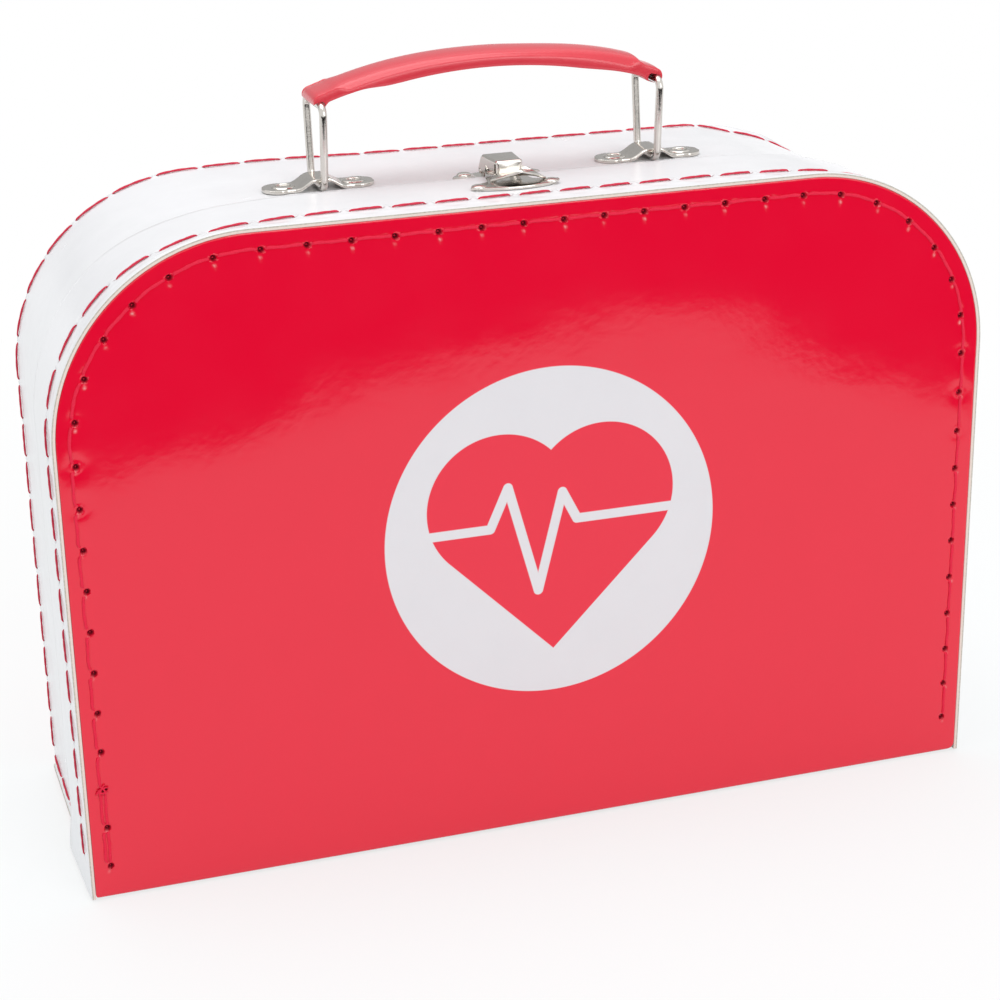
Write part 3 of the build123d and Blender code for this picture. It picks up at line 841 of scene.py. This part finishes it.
eyelet_profile = [(eyelet_hole, washer_low - 0.55)]
eyelet_profile += [(radius, base_top + plate_sheet + rise) for radius, rise in
                   ((eyelet_hole, -0.05), (2, 0.14), (2.12, 0.26), (2.3, 0.33), (2.52, 0.33), (2.78, 0.26),
                    (2.98, 0.14), (3.1, 0.02), (2.9, -0.02), (eyelet_barrel, -0.04))]
eyelet_profile += [(radius, washer_low - drop) for radius, drop in
                   ((eyelet_barrel, 0.02), (2.7, 0.04), (2.85, 0.25), (2.6, 0.5), (2.1, 0.6))]
washer_profile = [(radius, board_under - drop) for radius, drop in
                  ((2.15, 0), (3.9, 0), (4.15, 0.08), (4.2, 0.25))]
washer_profile += [(radius, washer_low + rise) for radius, rise in
                   ((4.12, 0.08), (3.9, 0), (2.25, 0), (2.12, 0.12))]
washer_rings = []
for side, plate_x in plate_xs.items():
    middles = [(plate_x + reach * eyelet_spacing / 2, 0, 0) for reach in (-1, 1)]
    add_nickel(f"eyelets_{side}", [lathe(eyelet_profile, middle) for middle in middles], "base",
               f"handle_eyelets_{side}", ring=True)
    washer_rings += [lathe(washer_profile, middle) for middle in middles]
add_nickel("washers_under_eyelets", washer_rings, "base", "eyelet_washers", ring=True)

# ======== wire loops
# Bright steel wire bent into a closed loop that is wider at the grip than at the plate. The butt
# joint of each loop is out of sight under its bridge.
wire_radius = 1
loop_foot, loop_top = 7.1, 9.2
bend_radius = 2.4
bend_steps = 10
wire_spacing = 1.2
loop_low = box_mm("bail_left")[0].z + wire_radius
loop_high = box_mm("bail_left")[1].z - wire_radius
loop_corners = [np.array((0, y, z)) for y, z in ((-loop_foot, loop_low), (loop_foot, loop_low),
                                                 (loop_top, loop_high), (-loop_top, loop_high))]
bends = []
for i, corner in enumerate(loop_corners):
    before, after = (other - corner for other in (loop_corners[i - 1], loop_corners[(i + 1) % 4]))
    before, after = before / norm(before), after / norm(after)
    half_angle = np.arccos(before @ after) / 2
    centre = corner + (before + after) / norm(before + after) * bend_radius / sin(half_angle)
    first, last = (corner + way * bend_radius / np.tan(half_angle) - centre for way in (before, after))
    sweep = pi - 2 * half_angle
    bends += [centre + (first * sin(sweep - turn) + last * sin(turn)) / sin(sweep)
              for turn in np.linspace(0, sweep, bend_steps + 1)]
loop_path = []
for i, point in enumerate(bends):
    step = bends[(i + 1) % len(bends)] - point
    parts = max(int(norm(step) / wire_spacing), 1)
    loop_path += [point + step * k / parts for k in range(parts)]
for side, plate_x in plate_xs.items():
    ovals = []
    for i, point in enumerate(loop_path):
        ahead = loop_path[(i + 1) % len(loop_path)] - loop_path[i - 1]
        outward = np.array((0, ahead[2], -ahead[1])) / norm(ahead)
        ovals.append((point + (plate_x, 0, 0), outward, np.array((1.0, 0, 0)), wire_radius, wire_radius))
    add_nickel(f"wire_loop_{side}", [strand(ovals, 20)], f"bail_{side}", f"bail_{side}", ring=True)

# ======== grip
# Soft glossy vinyl, moulded as an arched bar with square shoulders. Its ends thin to a flat strip
# wrapped round the top bar of each wire loop, with a slot left open beside the wire.
grip_half_span = 45.7
grip_reach = grip_half_span + 2.4
slot_radius, slot_slope, slot_z = 1.15, 0.34, loop_high - 0.1
grip_half_width, grip_crown = box_mm("handle_grip")[1].yz
grip_sag = grip_crown - (loop_high + 2.15)
arch_radius = (grip_reach**2 + grip_sag**2) / (2 * grip_sag)
arch_half = arch_radius * asin(grip_reach / arch_radius)

vinyl, shader, place = new_material("red_vinyl", IOR=1.5, Coat_Weight=0.35, Coat_Roughness=0.12)
cloud = grain(place, 90, 4, 0.6)
tint = mixed(share(cloud, 1.4, -0.2), (0.64, 0.022, 0.042, 1), (0.7, 0.036, 0.058, 1))
feed(shader, Base_Color=tint, Roughness=maths("MULTIPLY_ADD", cloud, 0.14, 0.24),
     Normal=bump(grain(place, 1500, 3, 0.55), 0.00006))

rows = []
for run in stations_along(arch_half, 161):
    from_end = arch_half - abs(run)
    body = smooth((from_end - 6.4) / 4.2)
    tip = sqrt(max(1 - (1 - min(from_end / 2.2, 1))**2, 0.02))
    dome = 0.4 + 0.7 * body
    low = -3.4 - 0.8 * smooth((from_end - 9) / 16)
    if run > 0:
        low -= 0.75 * smooth((5.8 - from_end) / 2.2)
        pad_lift = 1.3 * smooth((run - 8) / 32)
    else:
        low -= 0.75 * smooth((3.6 - from_end) / 2.2)
        low += 0.55 * smooth((from_end - 2.4) / 2) * (1 - smooth((from_end - 13) / 8))
        pad_lift = 0.35 * smooth(-run / 30)
    pad_lift *= smooth((from_end - 5.6) / 3)
    high = -1.9 * body - 0.55 * (1 - body)
    half = (grip_half_width - 0.3 * (1 - body)) * (1 - 0.05 * (1 - tip))
    middle = (low + high) / 2
    section = [(y, z * dome) for y, z in ((0, 0), (0.22, -0.03), (0.44, -0.13), (0.62, -0.32), (0.74, -0.52),
                                          (0.82, -0.76), (0.875, -1.02))]
    section += [(0.92, -1.3 * dome - 0.03), (0.96, high + 0.28), (0.985, high + 0.05), (0.997, high - 0.3),
                (1, high - 0.8), (1, middle), (0.998, low + 0.7), (0.985, low + 0.3), (0.95, low + 0.06)]
    section += [(y, low) for y in (0.9, 0.6, 0.3, 0)]
    section += [(-y, z) for y, z in reversed(section[1:-1])]
    row = []
    for y, z in section:
        radius = arch_radius + middle + (z - middle) * tip + pad_lift * smooth((z - middle) / (0.01 - middle))
        angle = run / arch_radius
        height = grip_crown + radius * cos(angle) - arch_radius
        row.append((fitting_x + radius * sin(angle), y * half, height))
    rows.append(row)
grip = add_mesh("grip_vinyl", [rows], [vinyl])


def combine(target, grids, operation="DIFFERENCE"):
    """Cuts solids away from a piece, or joins them to it."""
    for grid in grids:
        tool = add_mesh(f"{target.name}_tool", [grid], [])
        step = target.modifiers.new("combine", "BOOLEAN")
        step.object = tool
        step.operation = operation
        step.solver = "EXACT"
        shape = bpy.data.meshes.new_from_object(target.evaluated_get(bpy.context.evaluated_depsgraph_get()))
        target.modifiers.clear()
        target.data = shape
        bpy.data.objects.remove(tool)
    target.data.shade_smooth()
    target.data.set_sharp_from_angle(angle=35 * pi / 180)


slots = []
for side, left in ((-1, 0.7), (1, 1.3)):
    rows = [[], []]
    for angle in (np.arange(28) + 0.5) * 2 * pi / 28:
        shift = 0.1 if cos(angle) > 0 else -left
        for row, y in zip(rows, (-9, 9)):
            row.append((fitting_x + side * grip_half_span + shift + slot_radius * cos(angle), y,
                        slot_z - slot_slope * side * shift + slot_radius * sin(angle)))
    slots.append(rows)
combine(grip, slots)
dress(grip, "grip", "handle_grip")

# ======== keeper plate and its rivets
# A lens-shaped plate of nickel-plated steel, slightly domed, with a flat tongue under the lever. Two
# domed rivets hold it to the lid band near its tips, with washers inside.
keeper_low, keeper_high = box_mm("keeper_plate")
keeper_y = (keeper_low.y + keeper_high.y) / 2
lid_top = keeper_low.z
latch_sheet = 0.8
keeper_half = 12.5
keeper_side, keeper_front = 5.75, 3.6
lens_radius = (keeper_half**2 + keeper_side**2) / (2 * keeper_side)
keeper_reach = keeper_high.x - fitting_x
tip_curl, keeper_dome = 0.45, 0.16
rivet_reach = 9.8
tongue_half, tongue_reach = 5.6, 4.6
rows = []
for x in stations_along(keeper_reach, 101):
    run = abs(x)
    half = sqrt(lens_radius**2 - x**2) - lens_radius + keeper_side
    if run >= rivet_reach + 0.5:
        half = min(half, round_end(run, keeper_reach, 1.5))
    low = lid_top + tip_curl * smooth((x - keeper_reach + 3) / 3)
    rim = 0.25 * smooth((0.3 - (keeper_reach - run)) / 0.3)
    front_half = half * keeper_front / keeper_side
    half += tongue_reach * smooth((tongue_half + 0.6 - run) / 1.2)
    row = []
    for y, z in sheet_section(keeper_y + (half - front_half) / 2, (half + front_half) / 2, low + rim,
                              low + latch_sheet - rim, 0.35):
        if z > lid_top + 0.5:
            z += keeper_dome * max(1 - (x / keeper_half)**2 - ((y - keeper_y) / keeper_side)**2, 0)
            z += 0.3 * bell(y - keeper_y - 4.3, 0.35) * smooth((2.9 - run) / 0.6)
        row.append((fitting_x + x, y, z))
    rows.append(row)
add_nickel("keeper_lens", [rows], "lid", "keeper_plate")

rivet_barrel, rivet_head, rivet_dome = 1.2, 2, 0.7


def add_rivets(name, reach, y, top, board_inside, body, node_name):
    """A pair of domed rivets closed by flat heads, and their washers."""
    under = board_inside - 0.5
    rivet = [(0.02, top + rivet_dome)]
    rivet += [(rivet_head * cos(a), top + rivet_dome * sin(a)) for a in np.linspace(pi / 2.05, 0, 9)]
    rivet += [(rivet_barrel, top - 0.05), (rivet_barrel, under), (rivet_head - 0.15, under),
              (rivet_head, under - 0.2), (rivet_head - 0.3, under - 0.5), (0.02, under - 0.5)]
    washer = [(1.3, board_inside), (2.85, board_inside), (3, board_inside - 0.2), (2.85, under), (1.3, under)]
    for part, shape, profile in (("rivets", "domed", rivet), ("washers", "flat", washer)):
        rings = [lathe(profile, (fitting_x + side * reach, y, 0), steps=28) for side in (-1, 1)]
        add_nickel(f"{name}_{part}_{shape}", rings, body, f"{node_name}_{part}", ring=True)


add_rivets("keeper", rivet_reach, keeper_y, lid_top + latch_sheet, lid_top - band_sheet, "lid", "keeper")

# ======== latch hinge plate and pin
# Half of a lens-shaped plate, cut straight along its front edge, with two ears bent up inside the
# lever to carry its pin. Two rivets hold it to the base band.
hinge_low, hinge_high = box_mm("latch_hinge_plate")
hinge_half = hinge_high.x - fitting_x
hinge_top = base_top + latch_sheet
hinge_reach = hinge_high.y - hinge_low.y
arc_half = 12.8
arc_radius = (arc_half**2 + hinge_reach**2) / (2 * hinge_reach)
pin_y, pin_z, pin_radius = lid_edge_y + 2.2, hinge_top + 1.5, 0.7
ear_radius, ear_sheet = 1.15, 0.4
ear_inner = 3.05
wing_lift = 0.6
tip_round = 0.9
rows = []
for x in stations_along(hinge_half, 91):
    depth = max(sqrt(arc_radius**2 - x**2) - arc_radius + hinge_reach, tip_round)
    nip = tip_round - round_end(abs(x), hinge_half, tip_round)
    rim = 0.25 * smooth((0.3 - (hinge_half - abs(x))) / 0.3)
    lift = wing_lift * smooth((abs(x) - 4.9) / 2.2)
    half = max(depth / 2 - nip, 0.05)
    section = sheet_section(hinge_low.y + depth / 2, half, base_top + rim, hinge_top - rim, 0.3)
    rows.append([(fitting_x + x, y, z + lift * (z > base_top + 0.5)) for y, z in section])
grids = [rows]
for side in (-1, 1):
    ear = []
    for part, inset in ((0, 0.15), (0.15, 0), (0.85, 0), (1, 0.15)):
        x = fitting_x + side * (ear_inner + ear_sheet * part)
        radius = ear_radius - inset
        row = [(x, pin_y + radius * cos(a), pin_z + radius * sin(a)) for a in np.linspace(0, pi, 17)]
        ear.append(row + [(x, pin_y + way * radius, hinge_top - 0.1) for way in (-1, 1)])
    grids.append(ear)
add_nickel("hinge_plate_half_lens", grids, "base", "latch_hinge_plate")
add_rivets("hinge", 8.2, hinge_low.y + 2.7, hinge_top + wing_lift, board_under, "base", "latch_hinge")

pin_half = 4.32
pin_place = (fitting_x, pin_y, pin_z)
pin_profile = [(radius, inset - pin_half)
               for radius, inset in ((0.02, 0), (0.45, 0.02), (0.66, 0.15), (pin_radius, 0.35))]
pin_profile += [(radius, -along) for radius, along in reversed(pin_profile)]
add_nickel("lever_pin", [lathe(pin_profile, pin_place, "x", 24)], "base", "latch_pin", ring=True)

# ======== latch lever
# One blank of thin steel folded into a tapered box, open behind, that turns on the pin. Its front
# flares into a rounded lip for the thumb, and a three-cornered window is punched in each side.
lever_sheet = 0.6
lever_back = pin_y - 1.7
lever_length = 9.4
lever_front = lever_back - lever_length
lever_crown = hinge_top + 6.2
lever_front_half, lever_back_half = 3.2, 4.2
lever_lean = 0.8
under_back = hinge_top + 1.3
under_front = lid_top + 1.75
fold_radius = 0.7
front_bulge = 0.22
ear_top_y, ear_top_z = pin_y + 1, pin_z + 0.6
side_steps = 26


def rear_limit(z):
    """Rear edge of the lever's sides at one height, down to the round of the ear."""
    if z > ear_top_z:
        return lever_back + (ear_top_y - lever_back) * (lever_crown - z) / (lever_crown - ear_top_z)
    return pin_y + sqrt(max(ear_radius**2 - (z - pin_z)**2, 0.01))


def lower_limit(y):
    """Lower edge of the lever's sides at one distance from the front."""
    if y < lever_back:
        return under_back + (under_front - under_back) * (lever_back - y) / lever_length
    on_ear = smooth((y - lever_back) / 0.9)
    round_ear = sqrt(max(ear_radius**2 - (y - pin_y)**2, 0.01))
    return pin_z - round_ear * on_ear - (pin_z - under_back) * (1 - on_ear)


def lever_outline(inset):
    """Plan of the lever, rear left round the front to rear right: (x, y, side run)."""
    points = []
    for run in np.linspace(1, 0, side_steps):
        y = lever_front + fold_radius + (lever_length - fold_radius) * run
        half = lever_front_half + (lever_back_half - lever_front_half) * (y - lever_front) / lever_length
        points.append((-(half - inset), y, run))
    radius = max(fold_radius - inset, 0.05)
    for angle in np.linspace(pi, 1.5 * pi, 9)[1:]:
        points.append((-(lever_front_half - fold_radius) + radius * cos(angle),
                       lever_front + fold_radius + radius * sin(angle), 0))
    points += [(x, lever_front + inset, 0) for x in np.linspace(-2.2, 0, 7)[:-1]]
    right_half = [(-x + lever_lean * (1 - 0.45 * run), y, run) for x, y, run in reversed(points)]
    return points + [(lever_lean / 2, lever_front + inset, 0)] + right_half


def lever_level(inset, level):
    """Ring of the lever's outside at one share of its height."""
    ring = []
    for x, y, run in lever_outline(inset):
        low = lower_limit(y)
        z = low + (lever_crown - fold_radius - low) * level
        rear = smooth((run - 0.55) / 0.45) * (rear_limit(z) - lever_back)
        if y < lever_front + 0.05:
            rear = -front_bulge * sin(pi * level) * max(1 - (x / lever_front_half)**2, 0)
        ring.append((fitting_x + x, y + rear, max(z, lower_limit(y + rear)) if level == 0 else z))
    return ring


rows = [lever_level(0.9, 0)] + [lever_level(0, level) for level in np.linspace(0, 1, 16)]
for angle in np.linspace(0, pi / 2, 7)[1:]:
    z = lever_crown - fold_radius * (1 - sin(angle))
    rows.append([(fitting_x + x, y, z) for x, y, run in lever_outline(fold_radius * (1 - cos(angle)))])
lever = add_mesh("lever_folded", [rows], [nickel])

hollow = [(lever_sheet - lever_front_half, lever_front + lever_sheet)]
hollow += [(lever_sheet - lever_back_half, y) for y in (lever_back, pin_y + 5)]
hollow += [(-x + lever_lean * (1 if y < lever_back else 0.55), y) for x, y in reversed(hollow)]
cuts = [[[(fitting_x + x, y, z) for x, y in hollow] for z in (lid_top - 3, lever_crown - lever_sheet)]]
bore_radius = pin_radius + 0.08
cuts.append(list(zip(*lathe([(bore_radius, -8), (bore_radius, 8)], pin_place, "x", 24))))
window = [(lever_back - y, under_back + z) for y, z in ((2.3, 2.7), (2.3, 0.8), (5.8, 1.7))]
slot_low, slot_high = under_front - 0.5, lever_crown - 0.9
corner_slot = [(lever_front + y, z) for y, z in ((0.35, slot_low), (1.35, slot_low),
                                                 (1.25, slot_high), (0.45, slot_high))]
for opening in (window, corner_slot):
    for side in (-1, 1):
        cuts.append([[(fitting_x + side * reach, y, z) for y, z in opening] for reach in (2.4, 6)])
combine(lever, cuts)

lip_tip = np.array((0.7, lever_front - 8.3, lever_crown - 0.8))
lip_foot_z = under_front - 0.25
lip_feet = {False: (-5.2, lever_front - 1.7, lip_foot_z), True: (8.7, lever_front - 3.9, lip_foot_z)}
rows = []
for across in np.linspace(-1, 1, 61):
    root = np.array((lever_front_half * across + lever_lean * max(across, 0), lever_front + 0.3))
    run = abs(across)
    brim_x, brim_y, brim_z = lip_tip + (lip_feet[across > 0] - lip_tip) * (run, run**1.6, run**1.3)
    brim = np.array((brim_x, brim_y))
    root_z = under_front + lever_sheet + 1.6 * max(across, 0)**3
    upper, lower = [], []
    for t in np.linspace(0, 1, 17):
        x, y = root + (brim - root) * t
        z = root_z + (brim_z - root_z) * (t**2 if brim_z > root_z else t)
        upper.append((fitting_x + x, y, z))
        lower.append((fitting_x + x, y, z - lever_sheet - 0.2 * t))
    out_x, out_y = (brim - root) / norm(brim - root) * 0.35
    tip_x, tip_y, tip_z = upper[-1]
    nose = [(tip_x + out_x * k, tip_y + out_y * k, tip_z - drop)
            for k, drop in ((0.75, 0.14), (1, 0.4), (0.75, 0.66))]
    rows.append(upper + nose + lower[::-1])
combine(lever, [rows], "UNION")
dress(lever, "latch_lever", "latch_lever")

# ======== studio
# A pale floor that reads white, a white surround and soft lamps. Two cards that only reflections
# show stand for the dark and grey of the room: one lies before the case, one hangs behind it.
white = (1, 1, 1, 1)


def flat_mesh(name, points, paint):
    """One flat sheet in metres."""
    mesh = bpy.data.meshes.new(name)
    mesh.from_pydata(points, [], [tuple(range(len(points)))])
    mesh.materials.append(paint)
    made = link_object(name, mesh)
    return made


def seen_share(source):
    """1 for rays of the camera, reflections and clear materials, 0 for light on things."""
    rays = node(source, "LightPath")
    seen = maths("ADD", rays["Is Camera Ray"], rays["Is Glossy Ray"], clamp=True)
    return maths("ADD", seen, rays["Is Transmission Ray"], clamp=True)


floor_paint, shader, place = new_material("floor_paint", Base_Color=(0.8, 0.84, 0.85, 1), Roughness=0.9,
                                          Specular_IOR_Level=0)
fading = share(vectors("LENGTH", place, output=1), 0.75, 0.64)
glow = node(place, "Emission", Color=white, Strength=1)[0]
direct = maths("MULTIPLY", seen_share(place), fading)
blend = node(place, "MixShader", in_0=direct, in_1=shader.outputs[0], in_2=glow)
feed(floor_paint.node_tree.nodes["Material Output"], Surface=blend[0])
flat_mesh("floor", [(x, y, -0.0006) for x, y in ((-6, -6), (6, -6), (6, 6), (-6, 6))], floor_paint)


def reflection_card(name, points, grey):
    """Sheet that only reflections show, in one flat grey."""
    paint = new_material(name + "_paint", Base_Color=(0, 0, 0, 1), Roughness=1, Specular_IOR_Level=0,
                         Emission_Color=white, Emission_Strength=grey)[0]
    made = flat_mesh(name, points, paint)
    for ray in ("camera", "diffuse", "shadow", "transmission"):
        setattr(made, "visible_" + ray, False)


near_edge = [(-3, -0.3), (-0.073, -0.356), (-0.053, -0.358), (-0.011, -0.372), (0.043, -0.419),
             (0.093, -0.439), (0.171, -0.461), (0.233, -0.466), (0.245, -0.388), (0.262, -0.342), (0.3, -0.3),
             (3, -0.28)]
reflection_card("dark_card", [(x, y, 0.0005) for x, y in [(-3, -3), (3, -3)] + near_edge[::-1]], 0.004)
reflection_card("grey_card", [(-3.5, 2.5, 0.25), (3.5, 2.5, 0.25), (3.5, 2.5, 2.1), (-3.5, 2.5, 2.1)], 0.5)

world = bpy.data.worlds.new("surround")
bpy.context.scene.world = world
world.use_nodes = True
feed(world.node_tree.nodes["Background"], Color=white,
     Strength=maths("MULTIPLY_ADD", seen_share(world.node_tree), 0.28, 0.72))

for name, place, size, power in (("soft_lamp_above", (-0.15, 0.1, 1.5), 1.2, 10.9),
                                 ("soft_lamp_front", (0.6, -1.6, 0.9), 1, 8)):
    light = bpy.data.lights.new(name, "AREA")
    light.size = size
    light.energy = power
    lamp = link_object(name, light)
    lamp.location = place
    lamp.rotation_mode = "QUATERNION"
    lamp.rotation_quaternion = (Vector((0, 0, 0.08)) - Vector(place)).to_track_quat("-Z", "Y")

camera = bpy.data.cameras.new("camera")
camera.sensor_width = 36
camera.lens = 85.22
camera.clip_start = 0.01
camera.clip_end = 50
camera_object = link_object("camera", camera)
forward = Vector((0.28394, 0.88891, -0.35946)).normalized()
rightward = forward.cross(Vector((0.12765, 0.33651, 0.93299))).normalized()
turn = Matrix((rightward, rightward.cross(forward), -forward)).transposed()
camera_object.matrix_world = Matrix.Translation((-0.18715, -0.58759, 0.31793)) @ turn.to_4x4()
bpy.context.scene.camera = camera_object
bpy.context.scene.view_settings.view_transform = "Standard"
